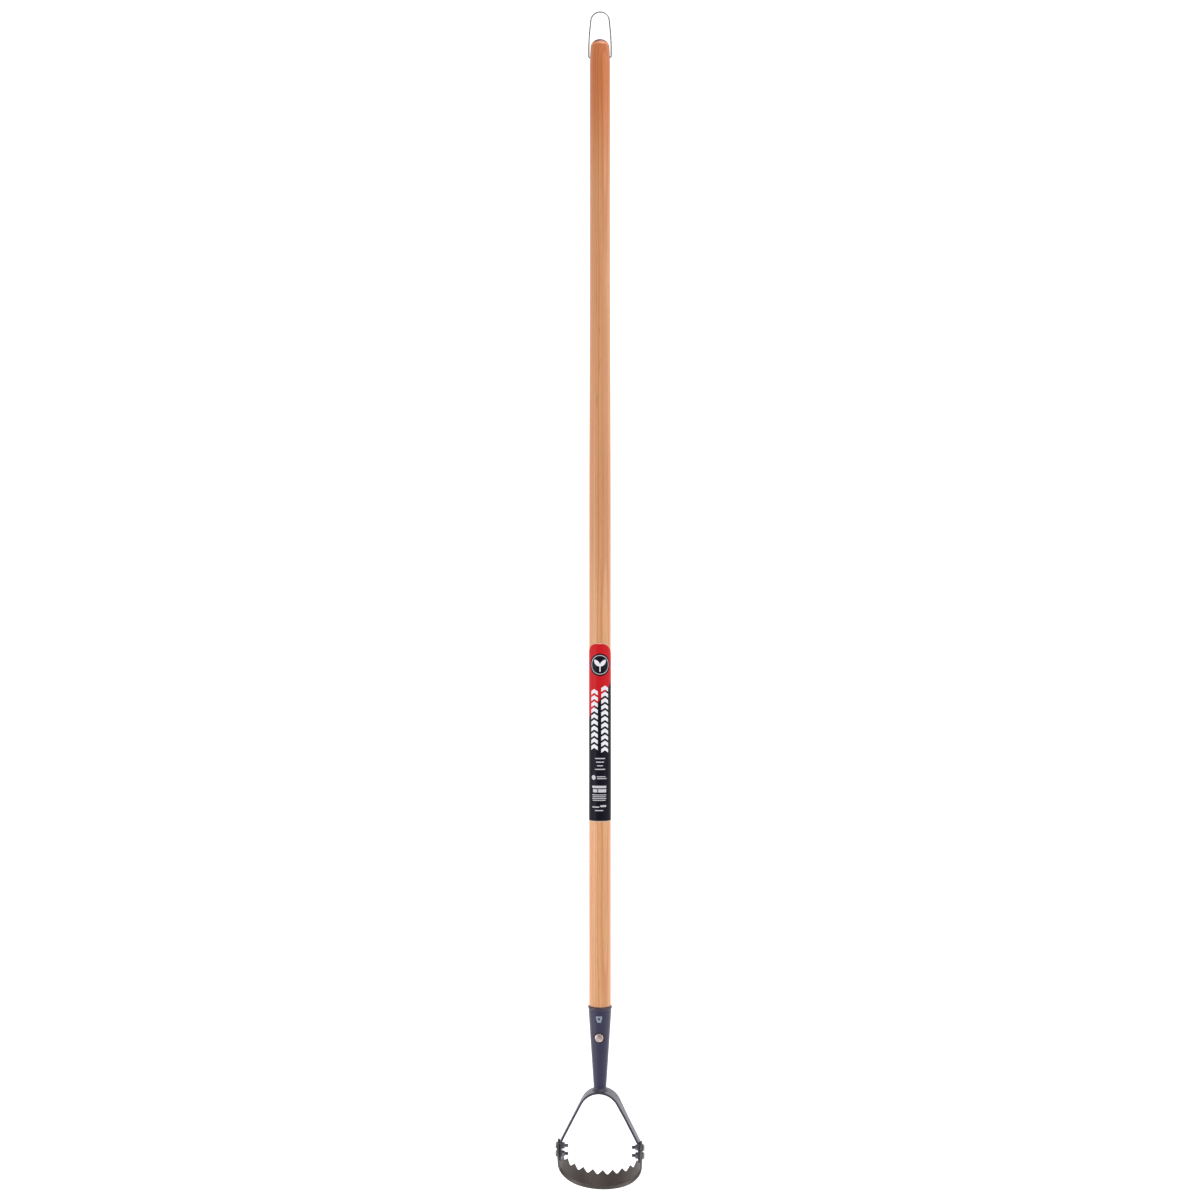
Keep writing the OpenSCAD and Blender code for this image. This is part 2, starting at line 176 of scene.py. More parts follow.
def cut_away(piece, cutter_meshes):
    """Takes the cutters' shapes out of the piece for good."""
    for i, cutter_mesh in enumerate(cutter_meshes):
        cutter = link(bpy.data.objects.new(f"cutter_{i}", cutter_mesh))
        cut = piece.modifiers.new("cut", "BOOLEAN")
        cut.operation, cut.solver, cut.object = "DIFFERENCE", "EXACT", cutter
        bpy.context.view_layer.update()
        result = bpy.data.meshes.new_from_object(piece.evaluated_get(bpy.context.evaluated_depsgraph_get()))
        piece.modifiers.clear()
        old, piece.data = piece.data, result
        bpy.data.meshes.remove(old)
        bpy.data.objects.remove(cutter)


def along_x(side, height):
    """Places a part turned about Z so that it runs out along X at a bolt, on side -1 or +1."""
    return Matrix.Translation((0, 0, height)) @ Matrix.Rotation(side * pi / 2, 4, "Y")


def along_y(side, height):
    """Places a part turned about Z so that it runs out along Y, on side -1 or +1."""
    return Matrix.Translation((0, 0, height)) @ Matrix.Rotation(-side * pi / 2, 4, "X")


def middle(node):
    """The middle of a CAD node's box."""
    low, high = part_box(node)
    return (low + high) / 2


# Flat patterns, bent like the real strips --------

def circle_points(centre, radius, a0=0.0, a1=360.0, steps=40):
    """Points on an arc, angles in degrees from the first axis. A full circle isn't closed twice."""
    last = steps if abs(a1 - a0) < 360 else steps - 1
    out = []
    for i in range(last + 1):
        a = radians(a0 + (a1 - a0) * i / steps)
        out.append((centre[0] + radius * cos(a), centre[1] + radius * sin(a)))
    return out


def plate(outlines, thickness, edge_round):
    """A flat plate as a bmesh: the first outline with the others as holes, its edges rounded."""
    curve = bpy.data.curves.new("pattern", "CURVE")
    curve.dimensions, curve.fill_mode = "2D", "BOTH"
    for outline in outlines:
        spline = curve.splines.new("POLY")
        spline.points.add(len(outline) - 1)
        for point, (a, b) in zip(spline.points, outline):
            point.co = (a, b, 0, 1)
        spline.use_cyclic_u = True
    curve.extrude = thickness / 2 - edge_round
    curve.bevel_depth, curve.bevel_resolution = edge_round, 2
    curve.offset = -edge_round
    holder = link(bpy.data.objects.new("pattern", curve))
    bpy.context.view_layer.update()
    flat = bpy.data.meshes.new_from_object(holder.evaluated_get(bpy.context.evaluated_depsgraph_get()))
    bm = bmesh.new()
    bm.from_mesh(flat)
    bmesh.ops.remove_doubles(bm, verts=bm.verts, dist=1e-7)
    bpy.data.objects.remove(holder)
    bpy.data.curves.remove(curve)
    bpy.data.meshes.remove(flat)
    return bm


def slice_across(bm, places, normal=(1, 0, 0)):
    """Adds edges where the plate is cut by planes, so that it can bend there."""
    for s in places:
        geometry = bm.verts[:] + bm.edges[:] + bm.faces[:]
        bmesh.ops.bisect_plane(bm, geom=geometry, dist=1e-7, plane_co=Vector(normal) * s, plane_no=normal)


class Bend:
    """A line in the XZ plane, symmetric about X = 0: (length, radius) runs from its middle outwards.
    A radius of None is straight. turn is +1 where the line curls up and -1 where it curls down."""

    def __init__(self, start_z, turn, runs):
        self.start_z, self.turn, self.runs = start_z, turn, runs

    def at(self, s):
        """The point at arc length s and the direction towards the inside of the curl."""
        x, z, heading, left = 0.0, self.start_z, 0.0, abs(s)
        for i, (length, radius) in enumerate(self.runs):
            step = left if i == len(self.runs) - 1 else min(left, length)
            if radius:
                a = step / radius
                x += radius * (sin(heading + a) - sin(heading))
                z += self.turn * radius * (cos(heading) - cos(heading + a))
                heading += a
            else:
                x += step * cos(heading)
                z += self.turn * step * sin(heading)
            left -= step
            if left <= 0:
                break
        side = -1 if s < 0 else 1
        inward = Vector((-side * sin(heading), 0, self.turn * cos(heading)))
        return Vector((side * x, 0, z)), inward

    def apply(self, bm):
        """Bends a plate: its X is the arc length, its Y stays, and its Z is the depth inwards."""
        for vert in bm.verts:
            s, y, depth = vert.co
            point, inward = self.at(s)
            vert.co = point + inward * depth + Vector((0, y, 0))


def bend_places(runs, step):
    """Where a bent plate needs cuts: along its curved runs only, on both sides."""
    places, start = [], 0.0
    for length, radius in runs:
        if radius:
            count = max(2, ceil(length / step))
            places += [start + length * i / count for i in range(count + 1)]
        start += length
    return sorted({round(side * p, 7) for p in places for side in (-1, 1)})


# Materials --------

def srgb(r, g, b):
    """A linear colour from 0 to 255 display values."""
    out = []
    for v in (r, g, b):
        v /= 255
        out.append(v / 12.92 if v <= 0.04045 else ((v + 0.055) / 1.055) ** 2.4)
    return (*out, 1.0)


# The colour sockets of the Mix node, whose names repeat for each type of value
MIX_A, MIX_B, MIX_RESULT = 6, 7, 2


class Shade:
    """A small builder for one procedural material."""

    def __init__(self, name, **settings):
        self.material = bpy.data.materials.new(name)
        self.material.use_nodes = True
        self.tree = self.material.node_tree
        self.shader = self.tree.nodes["Principled BSDF"]
        for key, value in settings.items():
            self.shader.inputs[key.replace("_", " ").title().replace("Ior", "IOR")].default_value = value
        self.position = self.node("ShaderNodeTexCoord").outputs["Object"]

    def node(self, kind, **settings):
        made = self.tree.nodes.new(kind)
        for key, value in settings.items():
            setattr(made, key, value)
        return made

    def wire(self, source, target):
        if hasattr(source, "is_output"):
            self.tree.links.new(source, target)
        else:
            target.default_value = source

    def math(self, operation, *values):
        made = self.node("ShaderNodeMath", operation=operation)
        for value, socket in zip(values, made.inputs):
            self.wire(value, socket)
        return made.outputs[0]

    def plus(self, a, b):
        return self.math("ADD", a, b)

    def minus(self, a, b):
        return self.math("SUBTRACT", a, b)

    def times(self, a, b):
        return self.math("MULTIPLY", a, b)

    def axes(self, vector=None):
        made = self.node("ShaderNodeSeparateXYZ")
        self.wire(vector or self.position, made.inputs[0])
        return made.outputs

    def distance(self, *offsets):
        """The length of a vector given by its components."""
        total = 0.0
        for offset in offsets:
            total = self.plus(total, self.math("POWER", offset, 2))
        return self.math("SQRT", total)

    def stretched(self, scale, vector=None):
        made = self.node("ShaderNodeMapping")
        self.wire(vector or self.position, made.inputs["Vector"])
        made.inputs["Scale"].default_value = scale
        return made.outputs[0]

    def noise(self, vector, scale=1.0, detail=3.0, roughness=0.5, distortion=0.0):
        made = self.node("ShaderNodeTexNoise")
        self.wire(vector, made.inputs["Vector"])
        made.inputs["Scale"].default_value = scale
        made.inputs["Detail"].default_value = detail
        made.inputs["Roughness"].default_value = roughness
        made.inputs["Distortion"].default_value = distortion
        return made.outputs["Fac"]

    def span(self, value, low, high, to_low=0.0, to_high=1.0, smooth=False):
        """Maps low..high to to_low..to_high, held at both ends."""
        made = self.node("ShaderNodeMapRange", interpolation_type="SMOOTHSTEP" if smooth else "LINEAR")
        for v, socket in zip((value, low, high, to_low, to_high), made.inputs):
            self.wire(v, socket)
        return made.outputs[0]

    def blend(self, factor, a, b, mode="MIX"):
        made = self.node("ShaderNodeMix", data_type="RGBA", blend_type=mode)
        self.wire(factor, made.inputs["Factor"])
        self.wire(a, made.inputs[MIX_A])
        self.wire(b, made.inputs[MIX_B])
        return made.outputs[MIX_RESULT]

    def bump(self, height, distance, strength=1.0):
        made = self.node("ShaderNodeBump")
        made.inputs["Strength"].default_value = strength
        made.inputs["Distance"].default_value = distance
        self.wire(height, made.inputs["Height"])
        self.wire(made.outputs[0], self.shader.inputs["Normal"])

    def colour(self, value):
        self.wire(value, self.shader.inputs["Base Color"])

    def rough(self, value):
        self.wire(value, self.shader.inputs["Roughness"])


# The middle of the tree's rings, beside the pole, their spacing, and how far they wander
RING_X, RING_Y = -31 * MM, 44 * MM
RING_GAP = 2.3 * MM
RING_WANDER = 14 * MM
# Distances below the tip at which the redder wood and the painted shade on the upper handle begin and are
# full
REDDER = (250 * MM, 40 * MM)
TOP_SHADE = (1100 * MM, 500 * MM)


def ash_wood():
    """Lacquered ash: long rings about an axis outside the pole, fine pores, redder near the tip."""
    m = Shade("ash_wood", coat_weight=0.3, coat_roughness=0.3, coat_ior=1.5, ior=1.45)
    x, y, z = m.axes()
    drift = m.noise(m.stretched((6, 6, 1.6)), detail=2)
    wander = m.times(m.minus(drift, 0.5), RING_WANDER)
    away_x = m.plus(m.minus(x, RING_X), wander)
    away_y = m.minus(y, RING_Y)
    ring = m.math("FRACT", m.math("DIVIDE", m.distance(away_x, away_y), RING_GAP))
    late = m.times(m.span(ring, 0.35, 0.9, smooth=True), m.span(ring, 0.92, 1.0, 1, 0))
    fibre = m.noise(m.stretched((900, 900, 9)), detail=4, roughness=0.65)
    streak = m.noise(m.stretched((160, 160, 3.5)), detail=3)
    pores = m.span(m.noise(m.stretched((1700, 1700, 42)), detail=2), 0.62, 0.72)
    early = m.minus(1, late)
    pores = m.times(pores, m.span(early, 0.4, 1.0, 0.15, 1.0))
    pale, deep = srgb(218, 168, 118), srgb(184, 128, 80)
    base = m.blend(m.span(late, 0, 1, 0.12, 0.88), pale, deep)
    base = m.blend(m.span(streak, 0.3, 0.7, 0, 0.45), base, srgb(214, 148, 104))
    base = m.blend(m.span(fibre, 0.35, 0.7, 0, 0.45), base, srgb(180, 122, 80))
    base = m.blend(m.times(pores, 0.65), base, srgb(122, 78, 50))
    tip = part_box("handle")[1].z
    red = m.span(z, tip - REDDER[0], tip - REDDER[1], smooth=True)
    base = m.blend(red, base, srgb(240, 198, 152), "MULTIPLY")
    # Painted shade: the upper handle is darkened as though less light reached it
    painted_top_shade = m.span(z, tip - TOP_SHADE[0], tip - TOP_SHADE[1], smooth=True)
    base = m.blend(painted_top_shade, base, srgb(238, 232, 226), "MULTIPLY")
    slow = m.span(m.noise(m.stretched((3, 3, 2.2)), detail=1), 0.35, 0.65, 0, 0.35)
    base = m.blend(slow, base, srgb(226, 190, 160), "MULTIPLY")
    up = m.axes(m.node("ShaderNodeNewGeometry").outputs["Normal"])[2]
    # Faces turned up are darker: partly end grain, partly painted shade on the dome's top
    end_grain_and_shade = m.span(up, 0.4, 0.7, 0, 0.95, smooth=True)
    base = m.blend(end_grain_and_shade, base, srgb(118, 96, 80), "MULTIPLY")
    # Painted highlight: a lighter band round the dome, below its darker top
    rim = m.times(m.span(up, 0.12, 0.3, smooth=True), m.span(up, 0.35, 0.55, 1, 0, smooth=True))
    m.colour(m.blend(m.times(rim, 0.3), base, srgb(214, 170, 138)))
    m.rough(m.span(fibre, 0.3, 0.7, 0.42, 0.58))
    grain = m.minus(m.times(fibre, 0.4), pores)
    m.bump(grain, 0.08 * MM, 0.6)
    return m.material


def painted_steel(name, body, worn, extra=None):
    """Satin enamel with a faint orange peel and thin spots on the edges. extra adds to its colour."""
    m = Shade(name, coat_weight=0.1, coat_roughness=0.22, ior=1.45)
    peel = m.noise(m.position, scale=900, detail=2)
    cloud = m.noise(m.position, scale=55, detail=4)
    scuff = m.noise(m.stretched((260, 260, 900)), detail=5, roughness=0.7)
    point = m.node("ShaderNodeNewGeometry").outputs["Pointiness"]
    edge = m.times(m.span(point, 0.53, 0.6), m.span(scuff, 0.5, 0.66))
    base = m.blend(m.span(cloud, 0.3, 0.7, 0, 0.6), body, worn)
    base = m.blend(m.times(m.span(scuff, 0.62, 0.72), 0.35), base, srgb(96, 94, 112))
    base = m.blend(m.times(edge, 0.8), base, srgb(120, 116, 122))
    if extra:
        base = extra(m, base, scuff)
    m.colour(base)
    m.rough(m.span(scuff, 0.3, 0.75, 0.3, 0.5))
    m.bump(m.plus(m.times(peel, 0.5), m.times(scuff, 0.3)), 0.05 * MM, 0.5)
    return m.material


# The socket's printed shield: its place under the lip, half its height, its half widths at the
# foot and the top, and the reach of the diamond left out of it
SHIELD_DROP = 17.5 * MM
SHIELD_HALF_H = 4.6 * MM
SHIELD_FOOT, SHIELD_TOP = 2.6 * MM, 4.4 * MM
SHIELD_SHOULDER = 1.0 * MM
DIAMOND_RISE, DIAMOND_REACH = 0.5 * MM, 2.1 * MM
# How far below the lip its brown stain reaches, and the inner and outer edge of the painted shadow ring
# round the rivet
STAIN_BELOW_LIP = (6 * MM, 2 * MM)
RIVET_SHADOW_RING = (8.4 * MM, 9.6 * MM)
SHADOW_RING_RAGGED = 1.6 * MM


def socket_marks(m, base, scuff):
    """A small printed shield with a dark diamond, a stain at the lip, and a painted shadow ring round the
    rivet.
    """
    x, y, z = m.axes()
    lip_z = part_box("socket")[1].z
    height = m.minus(z, lip_z - SHIELD_DROP)
    half = m.span(height, -SHIELD_HALF_H, SHIELD_SHOULDER, SHIELD_FOOT, SHIELD_TOP)
    sideways = m.math("ABSOLUTE", x)
    diamond = m.plus(sideways, m.math("ABSOLUTE", m.minus(height, DIAMOND_RISE)))
    shield = m.math("LESS_THAN", y, 0)
    for mask in (
        m.math("LESS_THAN", sideways, half),
        m.math("COMPARE", height, 0, SHIELD_HALF_H),
        m.math("GREATER_THAN", diamond, DIAMOND_REACH),
        m.span(m.noise(m.position, scale=1500, detail=2), 0.3, 0.42),
    ):
        shield = m.times(shield, mask)
    base = m.blend(shield, base, srgb(132, 142, 154))
    lip = m.span(z, lip_z - STAIN_BELOW_LIP[0], lip_z - STAIN_BELOW_LIP[1], 0, 0.75, smooth=True)
    base = m.blend(lip, base, srgb(58, 34, 42))
    # Painted shadow: a dark ring round the rivet's head, its edge made ragged
    away = m.distance(x, m.minus(z, middle("socket_rivet").z))
    ragged = m.plus(away, m.times(scuff, SHADOW_RING_RAGGED))
    return m.blend(m.span(ragged, *RIVET_SHADOW_RING, 0.95, 0), base, srgb(12, 3, 3))


# Where the blade's tabs grow greener along the strip, and the two sides of its ground edge
TABS_FROM, TABS_FULL = 70 * MM, 95 * MM
GROUND_FROM, GROUND_FULL = -8.3 * MM, -8.9 * MM


def blade_steel():
    """Dark oil-tempered spring steel: brown-black scale with rolling streaks and bare ground edges."""
    m = Shade("blade_steel", ior=1.9)
    uv = m.node("ShaderNodeUVMap", uv_map="flat").outputs[0]
    streak = m.noise(m.stretched((60, 900, 1), uv), detail=5, roughness=0.7)
    cloud = m.noise(m.position, scale=42, detail=5, roughness=0.6, distortion=0.6)
    fleck = m.noise(m.position, scale=1300, detail=3)
    along, across, _ = m.axes(uv)
    base = m.blend(m.span(cloud, 0.32, 0.66), srgb(42, 30, 26), srgb(60, 47, 42))
    base = m.blend(m.span(streak, 0.4, 0.75, 0, 0.5), base, srgb(84, 71, 66))
    base = m.blend(m.span(fleck, 0.55, 0.72, 0, 0.7), base, srgb(24, 18, 17))
    tabs = m.span(m.math("ABSOLUTE", along), TABS_FROM, TABS_FULL, smooth=True)
    base = m.blend(m.times(tabs, 0.6), base, srgb(58, 60, 56))
    ground = m.span(across, GROUND_FROM, GROUND_FULL)
    base = m.blend(m.times(ground, 0.3), base, srgb(92, 86, 82))
    m.colour(base)
    m.shader.inputs["Metallic"].default_value = 0.55
    m.rough(m.span(streak, 0.3, 0.75, 0.38, 0.6))
    m.bump(m.plus(streak, m.times(fleck, 0.6)), 0.05 * MM, 0.5)
    return m.material


def bare_metal(name, base, dark, roughness, along=(1, 1, 1)):
    """Plated or plain steel hardware: fine turning or drawing lines, dull spots, darker blotches."""
    m = Shade(name, metallic=1.0)
    lines = m.noise(m.stretched(tuple(1400 * a for a in along)), detail=4, roughness=0.7)
    blotch = m.noise(m.position, scale=230, detail=4, roughness=0.6)
    tone = m.blend(m.span(blotch, 0.4, 0.7), base, dark)
    m.colour(m.blend(m.span(lines, 0.35, 0.75, 0, 0.4), tone, dark))
    m.rough(m.span(lines, 0.3, 0.75, roughness - 0.08, roughness + 0.12))
    m.bump(lines, 0.02 * MM, 0.5)
    return m.material


# The label's marks, in millimetres across and up from the middle of its top edge
BADGE = (1.4, -31)
BADGE_R, BADGE_RING_R, BADGE_RING_HALF = 16.2, 13.4, 0.45
LEAVES = ((-3.0, -28.5, 0.75), (5.8, -28.5, -0.75))
LEAF_HALF_W, LEAF_HALF_L = 3.0, 6.6
STALK = (1.4, -37, 0.8, 4.0)
# Red above a slanted line, navy below it: its height, its slope and half of its soft width
CHANGE_DROP, CHANGE_SLOPE, CHANGE_SOFT = 83, 1.3, 3
# Two columns of chevrons: (across, top, how many), and the shape that they share
CHEVRONS = ((-7.4, -66.0, 10), (8.8, -61.0, 10.6))
CHEVRON_GAP, CHEVRON_HALF, CHEVRON_SLOPE, CHEVRON_SHARE = 8.8, 5.6, 0.6, 0.62
# Plain bars in place of fine print: (across, up, half width, half height)
PRINT_DOT = (-8.5, -193.5, 3.4)
PRINT_BARS = [(1.5, -166.0 - 5.2 * i, 7.5 - 1.6 * (i % 3), 0.7) for i in range(4)]
PRINT_BARS += [(0, -218.5 - 2.6 * i, 11.2 - 1.1 * (i % 2), 0.55) for i in range(4)]
PRINT_BARS += [
    (3.2, -192.3, 6.4, 0.6), (4.4, -195.0, 7.4, 0.6),
    (0, -207.0, 10.8, 1.7), (-6.0, -212.6, 3.4, 2.3), (4.8, -212.6, 6.0, 2.3),
    (-5.2, -236.0, 5.4, 0.8), (6.4, -234.6, 4.4, 1.3), (0, -241.0, 6.0, 0.7),
]
# Width of the film's pale cut edge
FILM_RIM = 0.9 * MM


def label_film():
    """Printed film: red head with a round badge, a slanted change to navy, and plain white marks."""
    m = Shade("label_film", specular_ior_level=0.1, ior=1.45)
    u, v, _ = m.axes(m.node("ShaderNodeUVMap", uv_map="flat").outputs[0])

    def from_point(u0, v0):
        return m.minus(u, u0 * MM), m.minus(v, v0 * MM)

    def far(u0, v0):
        return m.distance(*from_point(u0, v0))

    def block(u0, v0, half_u, half_v):
        across = m.math("COMPARE", u, u0 * MM, half_u * MM)
        return m.times(across, m.math("COMPARE", v, v0 * MM, half_v * MM))

    def union(masks):
        out = masks[0]
        for mask in masks[1:]:
            out = m.math("MAXIMUM", out, mask)
        return out

    def leaf(u0, v0, lean):
        """A pointed leaf: where two equal discs overlap."""
        du, dv = from_point(u0, v0)
        c, s = cos(lean), sin(lean)
        p = m.plus(m.times(du, c), m.times(dv, s))
        q = m.minus(m.times(dv, c), m.times(du, s))
        disc = (LEAF_HALF_W ** 2 + LEAF_HALF_L ** 2) / (2 * LEAF_HALF_W)
        p = m.plus(m.math("ABSOLUTE", p), (disc - LEAF_HALF_W) * MM)
        return m.math("LESS_THAN", m.distance(p, q), disc * MM)

    def chevrons(column, start, count):
        slant = m.times(m.math("ABSOLUTE", from_point(column, 0)[0]), CHEVRON_SLOPE)
        along = m.minus(start * MM, m.plus(v, slant))
        step = m.math("FRACT", m.math("DIVIDE", along, CHEVRON_GAP * MM))
        half_run = count * CHEVRON_GAP / 2 * MM
        out = m.math("COMPARE", u, column * MM, CHEVRON_HALF * MM)
        out = m.times(out, m.math("LESS_THAN", step, CHEVRON_SHARE))
        return m.times(out, m.math("COMPARE", along, half_run, half_run))

    red, navy, white = srgb(190, 18, 26), srgb(6, 5, 20), srgb(222, 222, 228)
    slope = m.plus(m.times(u, -CHANGE_SLOPE), m.plus(v, CHANGE_DROP * MM))
    base = m.blend(m.span(slope, -CHANGE_SOFT * MM, CHANGE_SOFT * MM, smooth=True), navy, red)
    base = m.blend(m.math("LESS_THAN", far(*BADGE), BADGE_R * MM), base, navy)
    ring = m.math("COMPARE", far(*BADGE), BADGE_RING_R * MM, BADGE_RING_HALF * MM)
    sprout = union([leaf(*place) for place in LEAVES] + [block(*STALK)])
    base = m.blend(union([m.times(ring, 0.75), sprout]), base, white)
    base = m.blend(union([chevrons(*column) for column in CHEVRONS]), base, white)
    dot = m.math("LESS_THAN", far(*PRINT_DOT[:2]), PRINT_DOT[2] * MM)
    small = union([dot] + [block(*bar) for bar in PRINT_BARS])
    base = m.blend(m.times(small, 0.72), base, white)

    rim = m.axes(m.node("ShaderNodeUVMap", uv_map="rim").outputs[0])[0]
    base = m.blend(m.times(m.math("LESS_THAN", rim, FILM_RIM), 0.8), base, srgb(222, 198, 184))
    ink = m.noise(m.position, scale=700, detail=3)
    base = m.blend(m.span(ink, 0.3, 0.7, 0, 0.12), base, srgb(60, 56, 66))
    m.colour(base)
    scuff = m.noise(m.stretched((400, 400, 60)), detail=4)
    m.rough(m.span(scuff, 0.3, 0.7, 0.36, 0.5))
    m.bump(m.noise(m.stretched((900, 900, 30)), detail=3), 0.03 * MM, 0.4)
    return m.material


# Camera, light and floor --------

LENS, SENSOR = 50.0, 36.0
FRAME_HEIGHT = 1.74
EYE_Z = -851.6 * MM
HEAD_YAW = radians(5)
# Glow of the sweep round the camera and behind the hoe, and where it changes along Y
ROOM_LIGHT, WALL_LIGHT = 0.22, 0.98
ROOM_Y, WALL_Y = -2.6, 0.7
SKY_LIGHT = 0.6
# Lamps: (name, place from the hoe's middle, watts)
LAMP_SIZE = 1.8
LAMPS = (("key", (-2.4, -1.6, -0.3), 44), ("top", (0.6, -0.5, 2.4), 40), ("fill", (2.4, -1.4, 0.4), 30))
# The sweep: its depth below the hoe, its flat floor, the arc up from it, and its wall's foot and top
SWEEP_DROP, FLOOR_R, ARC_R, WALL_FOOT, WALL_TOP = 0.35, 4, 2.5, 4.5, 7


def glowing_sweep_paint():
    """Matte paint for the sweep that glows by itself as painted light: white behind the hoe, and dimmer
    round the camera.
    """
    m = Shade("glowing_sweep", specular_ior_level=0.0)
    cloud = m.noise(m.position, scale=0.8, detail=2)
    m.colour(m.blend(m.span(cloud, 0.3, 0.7), (0.36, 0.36, 0.36, 1), (0.33, 0.33, 0.33, 1)))
    m.rough(m.span(cloud, 0.3, 0.7, 0.85, 0.95))
    m.bump(m.noise(m.position, scale=300, detail=2), 0.5 * MM, 0.1)
    # Painted light: the sweep's own glow also lights the hoe, brightest behind it and dim round the camera
    m.shader.inputs["Emission Color"].default_value = (1, 1, 1, 1)
    light = m.span(m.axes()[1], ROOM_Y, WALL_Y, ROOM_LIGHT, WALL_LIGHT, smooth=True)
    m.wire(light, m.shader.inputs["Emission Strength"])
    m.material.cycles.emission_sampling = "NONE"
    return m.material


def studio():
    scene = bpy.context.scene
    scene.view_settings.view_transform = "Standard"
    distance = FRAME_HEIGHT * LENS / SENSOR
    camera = link(bpy.data.objects.new("camera", bpy.data.cameras.new("camera")))
    camera.data.lens, camera.data.sensor_width = LENS, SENSOR
    camera.location = (sin(HEAD_YAW) * distance, -cos(HEAD_YAW) * distance, EYE_Z)
    camera.rotation_euler = (pi / 2, 0, HEAD_YAW)
    scene.camera = camera

    world = bpy.data.worlds.new("studio")
    scene.world = world
    world.use_nodes = True
    sky = world.node_tree.nodes["Background"]
    sky.inputs["Color"].default_value = (1, 1, 1, 1)
    sky.inputs["Strength"].default_value = SKY_LIGHT

    centre = Vector((0, 0, EYE_Z))
    for name, place, power in LAMPS:
        light = bpy.data.lights.new(name, "AREA")
        light.shape, light.size, light.energy = "DISK", LAMP_SIZE, power
        lamp = link(bpy.data.objects.new(name, light))
        lamp.location = centre + Vector(place)
        lamp.rotation_euler = (centre - lamp.location).to_track_quat("-Z", "Y").to_euler()

    # A round sweep: a plain floor that curves up into a wall, so that no corner shows
    ground = cad_box[0].z - SWEEP_DROP
    profile = [(r, ground) for r in range(FLOOR_R + 1)]
    for a in quarter_turn(16)[1:]:
        profile.append((FLOOR_R + ARC_R * sin(a), ground + ARC_R * (1 - cos(a))))
    profile += [(FLOOR_R + ARC_R, ground + WALL_FOOT), (FLOOR_R + ARC_R, ground + WALL_TOP)]
    bm = bmesh.new()
    grid(bm, turned(profile, 96))
    floor = link(bpy.data.objects.new("floor", mesh_from("floor", bm, 80)))
    floor.data.materials.append(glowing_sweep_paint())


# Handle --------

DOME_H = 11.6 * MM
# Radii at the dome's foot, where the grip has filled out, and at the slim neck
DOME_R, GRIP_R, NECK_R = 13.7 * MM, 14.8 * MM, 14.7 * MM
# Distances over which the grip fills out and the neck slims, and where the lower half swells
GRIP_RUN, NECK_RUN, SWELL_FROM, SWELL_RUN = 27.5 * MM, 310 * MM, 360 * MM, 360 * MM
# Where the straight side ends and the tenon starts below the lip's top, and the tenon's radii
SIDE_DROP, SHOULDER_DROP = 1.2 * MM, 6.6 * MM
TENON_TOP_R, TENON_LOW_R = 14.44 * MM, 8.1 * MM
# The wire's hole: its radius, its inner end, and the flare where it leaves the handle
WIRE_HOLE_R, WIRE_HOLE_X = 1.1 * MM, 7 * MM
FLARE_R, FLARE_X, FLARE_END_X = 1.6 * MM, 14 * MM, 16 * MM


def build_handle(material):
    """The turned pole, from its dome to the tenon in the socket, with a hole for each wire end."""
    low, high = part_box("handle")
    socket_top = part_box("socket")[1].z
    low_r = high.x
    foot = high.z - DOME_H
    dome = [(DOME_R * sin(a), foot + DOME_H * cos(a)) for a in quarter_turn(40)[:-1]]
    sides = []
    steps = 120
    for i in range(steps + 1):
        z = foot + (socket_top - SIDE_DROP - foot) * (i / steps) ** 1.6
        near_tip = 1 - sin(min(1.0, (foot - z) / GRIP_RUN) * pi / 2)
        neck = 1 - smooth((foot - z) / NECK_RUN)
        swell = smooth((-z - SWELL_FROM) / SWELL_RUN)
        widening = (DOME_R - GRIP_R) * near_tip + (GRIP_R - NECK_R) * neck + (low_r - NECK_R) * swell
        sides.append((NECK_R + widening, z))
    tenon = [(TENON_TOP_R, socket_top - SHOULDER_DROP), (TENON_LOW_R, low.z), (0, low.z)]
    mesh = turned_mesh("handle_pole", dome + sides + tenon, steps=96)
    piece = new_object("handle_pole", mesh, ROOT, "ash_wood", material, "handle")
    hole = [(0, WIRE_HOLE_X), (WIRE_HOLE_R, WIRE_HOLE_X), (WIRE_HOLE_R, FLARE_X)]
    hole += [(FLARE_R, FLARE_END_X), (0, FLARE_END_X)]
    places = [along_x(side, HANGER_PIVOT.z) for side in (-1, 1)]
    cut_away(piece, [turned_mesh("wire_hole", hole, 24, place) for place in places])
    return piece


# Hanger --------

WIRE_R, HANGER_R = 1 * MM, 13.4 * MM
WIRE_END_X = 8 * MM
# The knee in each leg: its distance from the axis and below the loop's top, and the straight foot
KNEE_X, KNEE_DROP, FOOT_DROP = 15.3 * MM, 31 * MM, 49 * MM
# How much wider the CAD's wire is at its joints
JOINT_SWELL = 0.05 * MM
HOLE_BEND, LEG_BEND = 2.4 * MM, 7 * MM


